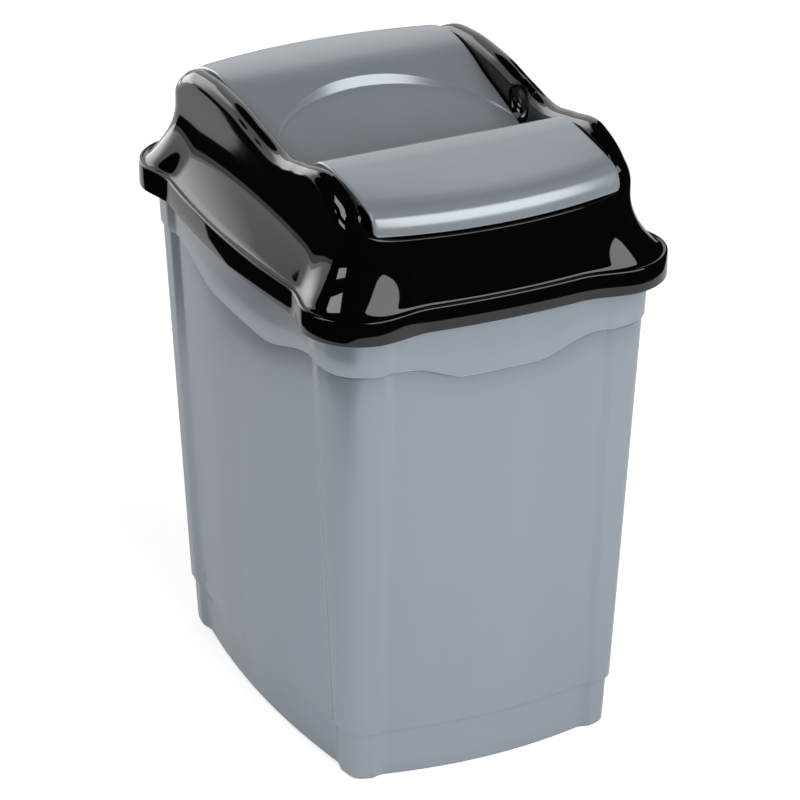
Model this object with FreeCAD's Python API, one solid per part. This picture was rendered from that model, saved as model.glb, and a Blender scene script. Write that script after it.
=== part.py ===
import FreeCAD, Part
import math
import os

os.makedirs("parts", exist_ok=True)
Vector = FreeCAD.Vector
RIGHT_ANGLE = math.pi / 2

# Swing-top kitchen bin of about 25 litres, in millimetres. X runs along the front, Y from front to
# back, Z up, with the origin in the middle of the base. Three injection mouldings: the tapered tub,
# the black lid hood that sits on the tub's rim, and the silver swing flap that tips in the hood.

# Tub, at its base
base_half_width = 99.7
base_half_depth = 136.6
base_corner = 12.3
base_bow_x = 11.6
base_bow_y = 13.0
base_pillar = 4.0

# Tub, at its mouth
mouth_height = 356.6
mouth_half_width = 118.9
mouth_half_depth = 157.1
mouth_corner = 29.0
mouth_bow_x = 5.4
mouth_bow_y = 5.4
mouth_pillar = 2.7
tub_wall = 2.0

# Tub, foot band and floor
foot_height = 36.0
foot_inset = 2.4
foot_edge_radius = 3.0
foot_step = 1.2
floor_height = 6.0
floor_thickness = 2.5

# Tub, collar band and rim
collar_proud = 1.6
collar_height = 41.6
collar_droop_front = 11.3
collar_droop_side = 16.0
collar_crest_front = 25.0
collar_crest_side = 36.0
collar_end_front = 68.0
collar_end_side = 104.0
rim_thickness = 2.0
rim_drop = 9.5

# Lid hood, lip outline
lip_half_width = 132.7
lip_half_depth = 169.7
lip_corner = 41.5
lip_bow_x = 10.5
lip_bow_y = 8.0
lip_sink = 9.8
lip_drop = 12.8
hood_wall = 2.2
rim_gap = 0.6
seat_gap = 0.3

# Lid hood, bead along the lip and flare up to the wall
bead_width = 4.6
bead_height = 4.4
lip_straight = 8.7
flare_rise = 41.0
flare_skin_shift = 1.6

# Lid hood, wall outline and its top edge
hood_half_width = 107.5
hood_half_depth = 151.1
hood_corner = 27.0
hood_bow_y = 13.0
cheek_round = 9.0
cheek_valley_rise = 69.7
cheek_front_rise = 81.4
cheek_rear_rise = 80.5
cheek_front_peak = 93.6
cheek_rear_peak = 76.0
cheek_valley_place = 29.7
sill_rise = 52.3
sill_edge = 1.4
sill_width = 7.0
throat_depth = 28.4
throat_front_depth = 13.5

# Swing flap
flap_half_width = 90.0
flap_gap = 1.0
flap_skin = 2.2
flap_front_reach = 162.0
flap_rear_reach = 154.5
flap_bow = 12.8
flap_hump_rise = 24.6
flap_corner = 5.0
flap_return_depth = 9.0
flap_return_thickness = 2.4
flap_return_front = 132.0
flap_rib_thickness = 1.8
flap_rib_offset = 45.0
flap_rib_front = 146.0
flap_rib_rear = 138.0

# Crescent push recess of the flap
push_radius = 93.8
push_centre = 26.3
push_step_run = 4.5
push_step_lean = 0.35
push_floor_rise = 15.3
push_floor_run = 63.0
push_dish_depth = 16.0

# Pivot of the flap in the hood's cheeks
pivot_back = 5.0
pivot_rise = 47.4
pin_radius = 3.5
pin_length = 5.5
pin_clearance = 0.05
socket_wall = 3.0
socket_length = 6.0
notch_radius = 12.6
notch_depth = 7.0
notch_rise = 61.0

# Overrun of the cuts, and how far a point may lie off a line or plane that counts as straight
overrun = 5.0
flatness = 0.0001

# Heights that follow from the sizes above
lip_top = mouth_height + seat_gap + hood_wall + bead_height / 2
lip_bottom = mouth_height - lip_drop
sill_height = mouth_height + sill_rise

# Shares of a side's half length at which an outline has a point, and where its sink ends
tub_side_shares = (0.0, 0.4, 0.74, 0.82, 0.93)
lid_side_shares = (0.0, 0.227, 0.4, 0.58, 0.714, 0.86)
lid_front_shares = (0.0, 0.45, 0.8)
pillar_shares = (0.82, 0.93)
lip_step_shares = (0.72, 1.0)

# Bead's section, as shares of its width and rise
bead_shares = ((0.0, 0.0), (0.15, 0.6), (0.5, 1.0), (1.0, 0.88))

# Cheek's crest, as shares of the hood's half depth or of the way between two of its heights
crest_fall_shares = ((1.0, 0.0), (0.93, 0.25), (0.87, 0.5), (0.81, 0.71), (0.71, 0.91))
crest_front_shares = ((0.5, 0.48),)
crest_rear_shares = ((0.36, 0.42), (0.7, 0.9))
throat_end_shares = (0.83, 0.97)
under_round_share = 0.7

# Side view of the flap's top, as shares of its reach and of the humps' rise, and where its bow fades
flap_front_shares = ((1.0, 0.1), (0.975, 0.33), (0.93, 0.63), (0.87, 0.775), (0.76, 0.885), (0.633, 0.965),
                     (0.543, 1.0), (0.434, 0.925), (0.374, 0.74), (0.211, -0.11), (0.133, -0.335),
                     (0.066, -0.25), (0.0, -0.127))
flap_rear_shares = ((0.063, -0.01), (0.19, 0.22), (0.348, 0.48), (0.475, 0.755), (0.57, 0.905), (0.70, 1.0),
                    (0.82, 0.925), (0.91, 0.76), (0.965, 0.52), (1.0, -0.15))
front_bow_shares = (0.68, 0.95)
rear_bow_shares = (0.7, 0.96)

# Numbers of strips that the curved forms are made of
tub_corner_steps = 3
lid_corner_steps = 4
foot_edge_steps = 2
flare_steps = 3
crest_steps = 4
under_steps = 2
wave_steps = 6
flap_strips = 8


def blend(value, start, end):
    """smooth step from 0 at start to 1 at end"""
    share = min(max((value - start) / (end - start), 0), 1)
    return share * share * (3 - 2 * share)


def mix(first, second, share):
    return first + (second - first) * share


def corner_tilt(bow, centre, radius):
    """angle at which the bowed side meets its corner arc, so that they are tangent"""
    tilt = 0
    for _ in range(4):
        tilt = math.atan2(2 * bow, centre + radius * math.sin(tilt))
    return tilt


def outline(half_x, half_y, radius, bow_x, bow_y, sink, step_shares, side_shares, front_shares, corner_steps):
    """closed outline, anticlockwise from the middle of the right side: four bowed sides, sunk between
    the corners by a smooth step, and corner arcs that meet them tangentially"""
    centre_x = half_x - radius
    centre_y = half_y - radius
    tilt_x = corner_tilt(bow_x, centre_y, radius)
    tilt_y = corner_tilt(bow_y, centre_x, radius)
    end_y = centre_y + radius * math.sin(tilt_x)
    end_x = centre_x + radius * math.sin(tilt_y)
    side_x = centre_x + radius * math.cos(tilt_x)
    side_y = centre_y + radius * math.cos(tilt_y)
    quarter = []
    for share in side_shares:
        rise = bow_x * (1 - share * share) - sink * (1 - blend(share, *step_shares))
        quarter.append(Vector(side_x + rise, end_y * share, 0))
    for index in range(corner_steps + 1):
        angle = mix(tilt_x, RIGHT_ANGLE - tilt_y, index / corner_steps)
        quarter.append(Vector(centre_x + radius * math.cos(angle), centre_y + radius * math.sin(angle), 0))
    for share in front_shares[::-1]:
        rise = bow_y * (1 - share * share) - sink * (1 - blend(share, *step_shares))
        quarter.append(Vector(end_x * share, side_y + rise, 0))
    half = quarter + [Vector(-p.x, p.y, 0) for p in quarter[-2::-1]]
    return half + [Vector(p.x, -p.y, 0) for p in half[-2:0:-1]]


def run_at(points, index):
    """direction of a closed outline at one of its points"""
    count = len(points)
    before = points[index % count] - points[(index - 1) % count]
    after = points[(index + 1) % count] - points[index % count]
    return before * (after.Length / before.Length) + after * (before.Length / after.Length)


def inset(points, distance):
    """moves each point of a closed outline inwards, square to the outline"""
    moved = []
    for index, point in enumerate(points):
        run = run_at(points, index)
        inward = Vector(-run.y, run.x, 0)
        moved.append(point + inward.normalize() * distance)
    return moved


def between(first, second, share):
    return [mix(a, b, share) for a, b in zip(first, second)]


def lifted(points, heights):
    """outline points at one height, or each at its own"""
    if not isinstance(heights, list):
        heights = [heights] * len(points)
    return [Vector(p.x, p.y, height) for p, height in zip(points, heights)]


def paces_of(points):
    """lengths between the neighbouring points of a closed outline"""
    return [(point - points[index - 1]).Length for index, point in enumerate(points)]


def loop(points, paces):
    """edges of the closed smooth curve through the points; every loop of a piece has the same paces"""
    count = len(points)
    slopes = []
    for index, here in enumerate(points):
        before, after = paces[index], paces[(index + 1) % count]
        beyond = points[(index + 1) % count]
        rise = (here - points[index - 1]) * (after / before) + (beyond - here) * (before / after)
        slopes.append(rise / (before + after))
    edges = []
    for index, end in enumerate(points):
        start = points[index - 1]
        third = paces[index] / 3
        poles = [start, start + slopes[index - 1] * third, end - slopes[index] * third, end]
        edges.append(bezier(poles))
    return edges


def bezier(poles):
    """curve over its control points, or a line where they lie on one"""
    start, end = poles[0], poles[-1]
    if all(pole.distanceToLine(start, end - start) < flatness for pole in poles[1:-1]):
        return Part.makeLine(start, end)
    curve = Part.BezierCurve()
    curve.setPoles(poles)
    return curve.toShape()


def is_flat(points):
    return max(p.z for p in points) - min(p.z for p in points) < flatness


def skin(rings, paces):
    """faces between neighbouring closed loops, with straight generators, or one plane between two flat
    loops at the same height"""
    loops = [loop(points, paces) for points in rings]
    faces = []
    for index, (one, two) in enumerate(zip(loops, loops[1:])):
        if is_flat(rings[index] + rings[index + 1]):
            faces.append(flat_ring(one, two))
        else:
            faces += [Part.makeRuledSurface(low, high, 1) for low, high in zip(one, two)]
    return faces


def flat_ring(one, two):
    """plane between two closed loops at the same height, one inside the other"""
    return Part.makeFace([Part.Wire(one), Part.Wire(two)], "Part::FaceMakerBullseye")


def cover(points, paces):
    return Part.Face(Part.Wire(loop(points, paces)))


def stack(rings, paces):
    """solid between closed flat outlines, one above the other, with straight walls between them"""
    return solid_from(skin(rings, paces) + [cover(points, paces) for points in (rings[0], rings[-1])])


def solid_from(faces):
    """solid whose skin is made of faces that meet along their edges"""
    shell = Part.Shell(faces)
    if not shell.isClosed():
        shell.sewShape()
        shell = shell.Shells[0] if shell.Shells else shell
    solid = Part.Solid(shell)
    if solid.Volume < 0:
        solid.reverse()
    return solid


def block(x_from, x_to, y_from, y_to, z_from, z_to):
    return Part.makeBox(x_to - x_from, y_to - y_from, z_to - z_from, Vector(x_from, y_from, z_from))


def rod(radius, x_from, x_to, y, z):
    """cylinder along X"""
    return Part.makeCylinder(radius, abs(x_to - x_from), Vector(min(x_from, x_to), y, z), Vector(1, 0, 0))


# Outlines

def tub_outline(height):
    """outline of the tub's outside at a height: it tapers, and its sides flatten towards the mouth"""
    base = (base_half_width, base_half_depth, base_corner, base_bow_x, base_bow_y, base_pillar)
    mouth = (mouth_half_width, mouth_half_depth, mouth_corner, mouth_bow_x, mouth_bow_y, mouth_pillar)
    sizes = between(base, mouth, height / mouth_height)
    return outline(*sizes, pillar_shares, tub_side_shares, tub_side_shares, tub_corner_steps)


def lid_outline(*sizes):
    return outline(*sizes, lip_step_shares, lid_side_shares, lid_front_shares, lid_corner_steps)


def lip_outline():
    """outline of the lid's lip, whose corners stand out between wide dips"""
    return lid_outline(lip_half_width, lip_half_depth, lip_corner, lip_bow_x, lip_bow_y, lip_sink)


def hood_outline():
    """outline of the hood's upright wall, bowed at the front and the rear"""
    return lid_outline(hood_half_width, hood_half_depth, hood_corner, 0, hood_bow_y, 0)


def hood_reach():
    """distance of the hood's front wall from the middle, at the crown of its bow"""
    tilt = corner_tilt(hood_bow_y, hood_half_width - hood_corner, hood_corner)
    return hood_half_depth - hood_corner * (1 - math.cos(tilt)) + hood_bow_y


def throat_outline():
    """outline of the opening that the flap fills, a sill's width inside the hood's front and rear"""
    half_x = flap_half_width + flap_gap
    radius = flap_corner + flap_gap
    tilt = corner_tilt(hood_bow_y, half_x - radius, radius)
    half_y = hood_reach() - sill_width - hood_bow_y + radius * (1 - math.cos(tilt))
    return lid_outline(half_x, half_y, radius, 0, hood_bow_y, 0)


# Lid hood

def crest_knots():
    """places and heights along one side of the cheek's crest: a hump over each half of the flap and
    a dip between them, falling at both ends to the sill"""
    front = mouth_height + cheek_front_rise
    rear = mouth_height + cheek_rear_rise
    valley = mouth_height + cheek_valley_rise
    knots = []
    for place, rise in crest_fall_shares:
        knots.append((-hood_half_depth * place, mix(sill_height, front, rise)))
    knots.append((-cheek_front_peak, front))
    for place, rise in crest_front_shares:
        knots.append((mix(-cheek_front_peak, -cheek_valley_place, place), mix(valley, front, rise)))
    knots.append((-cheek_valley_place, valley))
    for place, rise in crest_rear_shares:
        knots.append((mix(-cheek_valley_place, cheek_rear_peak, place), mix(valley, rear, rise)))
    knots.append((cheek_rear_peak, rear))
    for place, rise in crest_fall_shares[::-1]:
        knots.append((hood_half_depth * place, mix(sill_height, rear, rise)))
    return knots


def crest_slopes(knots):
    """slope at each knot: the harmonic mean of those on its two sides, or none at a peak, dip or end"""
    sides = []
    for start, end in zip(knots, knots[1:]):
        sides.append((end[1] - start[1]) / (end[0] - start[0]))
    inner = [2 * a * b / (a + b) if a * b > 0 else 0 for a, b in zip(sides, sides[1:])]
    return [0] + inner + [0]


def crest_height(place, knots, slopes):
    """height of the crest at a place along Y, by a smooth cubic between its knots"""
    place = min(max(place, knots[0][0]), knots[-1][0])
    index = max(i for i, knot in enumerate(knots[:-1]) if knot[0] <= place)
    start, end = knots[index], knots[index + 1]
    run = end[0] - start[0]
    t = (place - start[0]) / run
    return (start[1] * (1 + 2 * t) * (1 - t) ** 2 + slopes[index] * run * t * (1 - t) ** 2
            + end[1] * t * t * (3 - 2 * t) + slopes[index + 1] * run * t * t * (t - 1))


def lip_and_bead(lip):
    """loops up the outside of the lip and over its rolled bead"""
    start = lip_bottom + lip_straight
    rings = [lifted(lip, lip_bottom)]
    for across, up in bead_shares:
        rings.append(lifted(inset(lip, bead_width * across), mix(start, lip_top, up)))
    return rings


def flare(wall, foot, low, high, steps):
    """loops from the foot up to the wall, on a curve that is steep at the wall and flat at the foot"""
    rings = []
    for index in range(steps + 1):
        share = index / steps
        rings.append(lifted(between(wall, foot, (1 - share) ** 2), mix(low, high, share)))
    return rings


def rounded_top(outside, inside, tops, rounds, steps):
    """loops over the rounded top, from the outside edge over the crest to the inside edge"""
    rings = []
    for index in range(steps + 1):
        angle = math.pi * index / steps
        heights = [top - r * (1 - math.sin(angle)) for top, r in zip(tops, rounds)]
        rings.append(lifted(between(outside, inside, (1 - math.cos(angle)) / 2), heights))
    return rings


def lid_hood():
    """one skin carried round the hood: up the lip and bead, up the flare and wall, over the crest, down
    the throat, and back along the underside; the pivots' sockets and notches are then added"""
    lip, wall, throat = lip_outline(), hood_outline(), throat_outline()
    lip_in, wall_in, throat_out = inset(lip, hood_wall), inset(wall, hood_wall), inset(throat, -hood_wall)
    middle = between(wall, throat, 0.5)
    knots = crest_knots()
    slopes = crest_slopes(knots)
    tops = [crest_height(p.y, knots, slopes) for p in middle]
    rounds = [min(cheek_round, top - sill_height + sill_edge) for top in tops]
    ends = [blend(abs(p.y), *[hood_half_depth * share for share in throat_end_shares]) for p in middle]
    bottoms = [mouth_height + mix(throat_depth, sill_rise - throat_front_depth, end) for end in ends]
    flare_top = lip_top + flare_rise
    seat = mouth_height + seat_gap
    rings = lip_and_bead(lip)
    rings += flare(wall, inset(lip, bead_width), rings[-1][0].z, flare_top, flare_steps)[1:]
    crest = rounded_top(wall, throat, tops, rounds, crest_steps)
    rings += crest
    rings += [lifted(throat, bottoms), lifted(throat_out, bottoms)]
    under_tops = [top - hood_wall for top in tops]
    under_rounds = [r * under_round_share for r in rounds]
    rings += rounded_top(throat_out, wall_in, under_tops, under_rounds, under_steps)
    foot_in = inset(lip, bead_width + flare_skin_shift / 2)
    rings += flare(wall_in, foot_in, lip_top - flare_skin_shift, flare_top, under_steps)[::-1]
    rings += [lifted(inset(lip, bead_width), seat), lifted(lip_in, seat), lifted(lip_in, lip_bottom)]
    rings.append(rings[0])
    paces = paces_of(wall)
    body = solid_from(skin(rings, paces))
    low = mouth_height + notch_rise - notch_radius - hood_wall - overrun
    cheeks = [lifted(wall, low)] + crest + [lifted(throat, low)]
    cheeks = solid_from(skin(cheeks, paces) + [flat_ring(loop(cheeks[0], paces), loop(cheeks[-1], paces))])
    for side in (-1, 1):
        body = body.fuse([pivot_notch(side, hood_wall).common(cheeks), pivot_socket(side, socket_wall)])
        body = body.cut([pivot_notch(side, 0), pivot_socket(side, 0)])
    return body


def pivot_notch(side, wall):
    """round scoop in a cheek's inner edge, or, with a wall, the pocket that backs it"""
    edge = flap_half_width + flap_gap
    reach = edge + notch_depth + wall
    return rod(notch_radius + wall, side * (edge - overrun), side * reach, 0, mouth_height + notch_rise)


def pivot_socket(side, wall):
    """blind bore for the flap's pivot stub, or, with a wall, the boss round it"""
    edge = flap_half_width + flap_gap
    start = edge + (hood_wall / 2 if wall else -overrun)
    reach = edge + socket_length + wall
    radius = pin_radius + pin_clearance + wall
    return rod(radius, side * start, side * reach, pivot_back, mouth_height + pivot_rise)


# Tub

def tub():
    """one skin: recessed sole, inset foot band, tapering wall, turned-down rim and the cavity inside"""
    sole = inset(tub_outline(0), foot_inset)
    foot_top = inset(tub_outline(foot_height), foot_inset)
    wall_foot = tub_outline(foot_height + foot_step)
    under_rim = mouth_height - rim_thickness
    rim = inset(lip_outline(), hood_wall + rim_gap)
    rim_in = inset(rim, rim_thickness)
    rim_low = mouth_height - rim_drop
    floor_top = floor_height + floor_thickness
    recess = inset(sole, foot_edge_radius + tub_wall)
    outside = [lifted(recess, floor_height), lifted(recess, 0)]
    for index in range(foot_edge_steps + 1):
        angle = RIGHT_ANGLE * index / foot_edge_steps
        place = inset(sole, foot_edge_radius * (1 - math.sin(angle)))
        outside.append(lifted(place, foot_edge_radius * (1 - math.cos(angle))))
    outside += [lifted(foot_top, foot_height), lifted(wall_foot, foot_height + foot_step),
                lifted(tub_outline(under_rim), under_rim)]
    turned = [lifted(rim_in, under_rim), lifted(rim_in, rim_low), lifted(rim, rim_low),
              lifted(rim, mouth_height)]
    inside = [lifted(inset(tub_outline(mouth_height), tub_wall), mouth_height),
              lifted(inset(wall_foot, tub_wall), foot_height + foot_step),
              lifted(inset(foot_top, tub_wall), foot_height),
              lifted(inset(between(sole, foot_top, floor_top / foot_height), tub_wall), floor_top)]
    paces = paces_of(outside[-1])
    rim_paces = paces_of(rim)
    faces = skin(outside, paces) + skin(turned, rim_paces) + skin(inside, paces)
    faces.append(flat_ring(loop(outside[-1], paces), loop(turned[0], rim_paces)))
    faces.append(flat_ring(loop(turned[-1], rim_paces), loop(inside[0], paces)))
    faces += [cover(outside[0], paces), cover(inside[-1], paces)]
    return solid_from(faces).fuse(collar())


def collar():
    """band round the tub under the lid, a little proud of the wall, whose lower edge waves down in the
    middle of each side"""
    low = mouth_height - collar_height - collar_droop_side - overrun
    top = mouth_height - rim_thickness / 2
    outer, inner = [], []
    for height in (low, top):
        outer.append(lifted(inset(tub_outline(height), -collar_proud), height))
        inner.append(lifted(inset(tub_outline(height), tub_wall / 2), height))
    paces = paces_of(outer[0])
    band = stack(outer, paces).cut(stack(inner, paces))
    reach = lip_half_depth + overrun
    keep = block(-reach, reach, -reach, reach, mouth_height - collar_height, mouth_height)
    keep = keep.fuse([droop_prism(collar_crest_front, collar_end_front, collar_droop_front, True),
                      droop_prism(collar_crest_side, collar_end_side, collar_droop_side, False)])
    return band.common(keep)


def droop_prism(crest_half, end_half, droop, along_y):
    """block that hangs below the collar's straight lower edge with a wave-shaped underside; it runs
    right through the tub from one side to the other"""
    level = mouth_height - collar_height
    reach = lip_half_depth + overrun
    wave = []
    for index in range(wave_steps + 1):
        place = mix(-end_half, -crest_half, index / wave_steps)
        wave.append(Vector(-reach, place, level - droop * blend(place, -end_half, -crest_half)))
    wave += [Vector(-reach, -p.y, p.z) for p in wave[::-1]]
    curve = Part.BSplineCurve()
    curve.interpolate(wave)
    above = Vector(0, 0, overrun)
    lid = [wave[-1], wave[-1] + above, wave[0] + above, wave[0]]
    wire = Part.Wire([curve.toShape()] + Part.makePolygon(lid).Edges)
    prism = Part.Face(wire).extrude(Vector(2 * reach, 0, 0))
    if along_y:
        prism.rotate(Vector(0, 0, 0), Vector(0, 0, 1), math.degrees(RIGHT_ANGLE))
    return prism


# Swing flap

def flap_profile():
    """side view of the flap's top from its front lip to its rear end: two equal humps with a valley
    between them; each point is (bow, y, z), where the bow is how far the middle stands out past the sides"""
    front = flap_front_reach - flap_bow
    rear = flap_rear_reach - flap_bow
    base = sill_height + seat_gap
    points = []
    for share, rise in flap_front_shares:
        bow = -flap_bow * blend(share, *front_bow_shares)
        points.append(Vector(bow, -front * share, base + flap_hump_rise * rise))
    for share, rise in flap_rear_shares:
        bow = flap_bow * blend(share, *rear_bow_shares)
        points.append(Vector(bow, rear * share, base + flap_hump_rise * rise))
    return points


def open_slopes(points):
    """slopes of the smooth open curve through the points, per unit of running length"""
    slopes = [(points[1] - points[0]).normalize()]
    for start, here, end in zip(points, points[1:], points[2:]):
        before, after = here - start, end - here
        rise = before * (after.Length / before.Length) + after * (before.Length / after.Length)
        slopes.append(rise / (before.Length + after.Length))
    return slopes + [(points[-1] - points[-2]).normalize()]


def sunk(points, depth):
    """the profile moved square to itself into the flap"""
    moved = []
    for point, slope in zip(points, open_slopes(points)):
        down = Vector(0, slope.z, -slope.y)
        moved.append(point + down.normalize() * depth)
    return moved


def profile_spans(points):
    """control points of each span of the smooth curve through the points"""
    slopes = open_slopes(points)
    spans = []
    for index, (start, end) in enumerate(zip(points, points[1:])):
        third = (end - start).Length / 3
        spans.append([start, start + slopes[index] * third, end - slopes[index + 1] * third, end])
    return spans


def bowed(pole, x):
    """place of a profile's point on the sheet at x: the bow is a parabola across the flap"""
    return Vector(x, pole.y + pole.x * (1 - (x / flap_half_width) ** 2), pole.z)


def bowed_sheet(upper, lower):
    """solid between two profiles, as wide as the flap: the profiles, bowed in plan, are repeated across it
    and joined by strips with straight generators"""
    stations = []
    for index in range(flap_strips + 1):
        x = mix(-flap_half_width, flap_half_width, index / flap_strips)
        rows = []
        for row in (upper, lower):
            rows.append([bezier([bowed(pole, x) for pole in poles]) for poles in profile_spans(row)])
        ends = [Part.makeLine(bowed(upper[end], x), bowed(lower[end], x)) for end in (0, -1)]
        stations.append(rows[0] + [ends[1]] + rows[1][::-1] + [ends[0]])
    faces = [Part.Face(Part.Wire(stations[end])) for end in (0, -1)]
    for one, two in zip(stations, stations[1:]):
        faces += [Part.makeRuledSurface(left, right, 1) for left, right in zip(one, two)]
    return solid_from(faces)


def push_dish(valley, grown):
    """what the crescent recess takes away: a steep cone wall over a gently rising floor, or, grown by
    the wall's thickness, the dish that carries it"""
    low = valley.z - grown
    top = mouth_height + cheek_front_rise + overrun
    radius = push_radius + grown
    slope = push_floor_rise / push_floor_run
    corners = [(-grown, low - grown * slope), (radius, low + radius * slope), (radius, top), (-grown, top)]
    section = [Vector(-radius, y, z) for y, z in corners]
    wedge = Part.Face(Part.makePolygon(section + section[:1])).extrude(Vector(2 * radius, 0, 0))
    foot_radius = radius - push_step_run
    rise = top - low
    cone = Part.makeCone(foot_radius, foot_radius + push_step_lean * rise, rise, Vector(0, -push_centre, low))
    return wedge.common(cone)


def flap_slabs():
    """upright slabs in which the side returns and the ribs lie"""
    high = mouth_height + cheek_front_rise + overrun
    slabs = []
    for side in (-1, 1):
        left = side * flap_rib_offset - flap_rib_thickness / 2
        right = side * flap_rib_offset + flap_rib_thickness / 2
        slabs.append(block(left, right, -flap_rib_front, flap_rib_rear, mouth_height, high))
        inner, outer = sorted((side * (flap_half_width - flap_return_thickness), side * flap_half_width))
        slabs.append(block(inner, outer, -flap_return_front, flap_rib_rear, mouth_height, high))
    return slabs


def swing_flap():
    """bowed skin with its crescent recess, returns along both sides, two ribs and the pivot stubs"""
    profile = flap_profile()
    valley = profile[len(flap_front_shares) - 1]
    recess = push_dish(valley, 0)
    skin_sheet = bowed_sheet(profile, sunk(profile, flap_skin))
    deep_sheet = bowed_sheet(profile, [p - Vector(0, 0, push_dish_depth) for p in profile])
    under_sheet = bowed_sheet(sunk(profile, flap_skin / 2), sunk(profile, flap_return_depth))
    dish = push_dish(valley, flap_skin).common(deep_sheet)
    body = skin_sheet.fuse([dish] + [under_sheet.common(slab) for slab in flap_slabs()])
    body = body.cut([recess] + flap_corner_cutters(profile[0], profile[-1]))
    start = flap_half_width - flap_return_thickness
    end = flap_half_width + pin_length
    pivot_z = mouth_height + pivot_rise
    return body.fuse([rod(pin_radius, side * start, side * end, pivot_back, pivot_z) for side in (-1, 1)])


def flap_corner_cutters(front, rear):
    """what rounds the flap's rear corners in plan and the lower corners of its front lip in front view"""
    cutters = []
    high = mouth_height + cheek_front_rise + overrun
    rear_start = rear.y - flap_corner
    front_start = front.y - flap_bow - overrun
    front_end = front.y + flap_corner
    front_top = front.z + flap_corner
    for side in (-1, 1):
        centre = side * (flap_half_width - flap_corner)
        inner, outer = sorted((centre, side * (flap_half_width + overrun)))
        corner = block(inner, outer, rear_start, rear.y + flap_bow, mouth_height, high)
        post = Part.makeCylinder(flap_corner, high - mouth_height, Vector(centre, rear_start, mouth_height))
        cutters.append(corner.cut(post))
        corner = block(inner, outer, front_start, front_end, mouth_height, front_top)
        place = Vector(centre, front_start, front_top)
        bar = Part.makeCylinder(flap_corner, front_end - front_start, place, Vector(0, 1, 0))
        cutters.append(corner.cut(bar))
    return cutters


def write(shape, name):
    shape.exportStep("parts/" + name + ".step")


write(tub(), "tub")
write(lid_hood(), "lid_hood")
write(swing_flap(), "swing_flap")
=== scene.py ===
import bpy
import bmesh
import math
import numpy as np
from mathutils import Matrix, Vector


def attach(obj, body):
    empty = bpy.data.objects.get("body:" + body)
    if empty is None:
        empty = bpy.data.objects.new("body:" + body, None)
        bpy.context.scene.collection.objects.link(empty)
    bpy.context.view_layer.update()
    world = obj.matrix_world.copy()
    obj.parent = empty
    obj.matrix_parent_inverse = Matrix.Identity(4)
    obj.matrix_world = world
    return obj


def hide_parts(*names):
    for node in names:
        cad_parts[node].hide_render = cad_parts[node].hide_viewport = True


# Swing-top kitchen bin: a tapered silver tub, a glossy black hood that sits on its rim, and a silver
# flap that tips in the hood. X runs along the front, Y from front to back, Z up, in metres.

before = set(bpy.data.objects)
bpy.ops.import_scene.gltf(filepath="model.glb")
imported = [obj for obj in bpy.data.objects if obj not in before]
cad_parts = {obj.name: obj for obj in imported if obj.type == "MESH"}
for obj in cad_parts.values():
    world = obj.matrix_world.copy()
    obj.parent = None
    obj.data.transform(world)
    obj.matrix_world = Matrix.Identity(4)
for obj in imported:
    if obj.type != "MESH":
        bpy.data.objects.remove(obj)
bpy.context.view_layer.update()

# Tub
# One injection moulding in silver-grey polypropylene, which stands free on its foot: a foot band, four
# gently bowed walls between slightly raised corner pillars, a collar band with a wave-shaped lower edge,
# and a turned-down rim.

MM = 0.001
mouth_height = 356.6 * MM
tub_base = dict(half_x=99.7 * MM, half_y=136.6 * MM, radius=12.3 * MM, bow_x=11.6 * MM, bow_y=13.0 * MM,
                sink=4.0 * MM)
tub_mouth = dict(half_x=118.9 * MM, half_y=157.1 * MM, radius=29.0 * MM, bow_x=5.4 * MM, bow_y=5.4 * MM,
                 sink=2.7 * MM)
pillar_shares = (0.82, 0.93)
tub_wall = 2.0 * MM
foot_height = 36.0 * MM
foot_inset = 2.4 * MM
foot_edge = 3.0 * MM
foot_edge_steps = 7
foot_step = 1.2 * MM
foot_step_height = foot_height + foot_step
floor_height = 6.0 * MM
floor_thickness = 2.5 * MM
floor_edge_share = 0.3
floor_shares = (0.9, 0.5, 0.0)
recess_shares = (0.0, 0.5, 0.98)
wall_shares = np.linspace(0, 1, 13)[1:-1]
cavity_shares = (0.3, 0.65)
collar_proud = 1.6 * MM
groove_width = 1.2 * MM
groove_depth = 0.7 * MM
collar_height = 41.6 * MM
collar_droop = {"front": 11.3 * MM, "side": 16.0 * MM}
collar_crest = {"front": 25.0 * MM, "side": 36.0 * MM}
collar_end = {"front": 68.0 * MM, "side": 104.0 * MM}
rim_thickness = 2.0 * MM
rim_drop = 9.5 * MM
lip = dict(half_x=132.7 * MM, half_y=169.48 * MM, radius=41.5 * MM, bow_x=10.5 * MM, bow_y=8.0 * MM,
           sink=9.8 * MM)
lip_step_shares = (0.72, 1.0)
lip_front_shares = (0.56, 1.0)
third_shares = (0.33, 0.67)
hood_wall = 2.2 * MM
rim_gap = 0.6 * MM
edge_radius = 0.35 * MM
weld_distance = 1e-6
sliver_length = 1e-7


def smooth(value, start, end):
    """smooth step: 0 below start, 1 above end, and 3 t squared less 2 t cubed between them"""
    share = np.clip((np.asarray(value, float) - start) / (end - start), 0.0, 1.0)
    return share * share * (3 - 2 * share)


def mix(first, second, share):
    """straight line from the first value to the second: first plus share times their difference"""
    return first + (second - first) * share


def corner_tilt(bow, centre, radius):
    """Angle at which a bowed side meets its corner arc: its tangent is twice the bow over the run from the
    middle of the side to the meeting point, which the angle itself moves, so it is refined four times."""
    tilt = 0.0
    for _ in range(4):
        tilt = math.atan2(2 * bow, centre + radius * math.sin(tilt))
    return tilt


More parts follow.
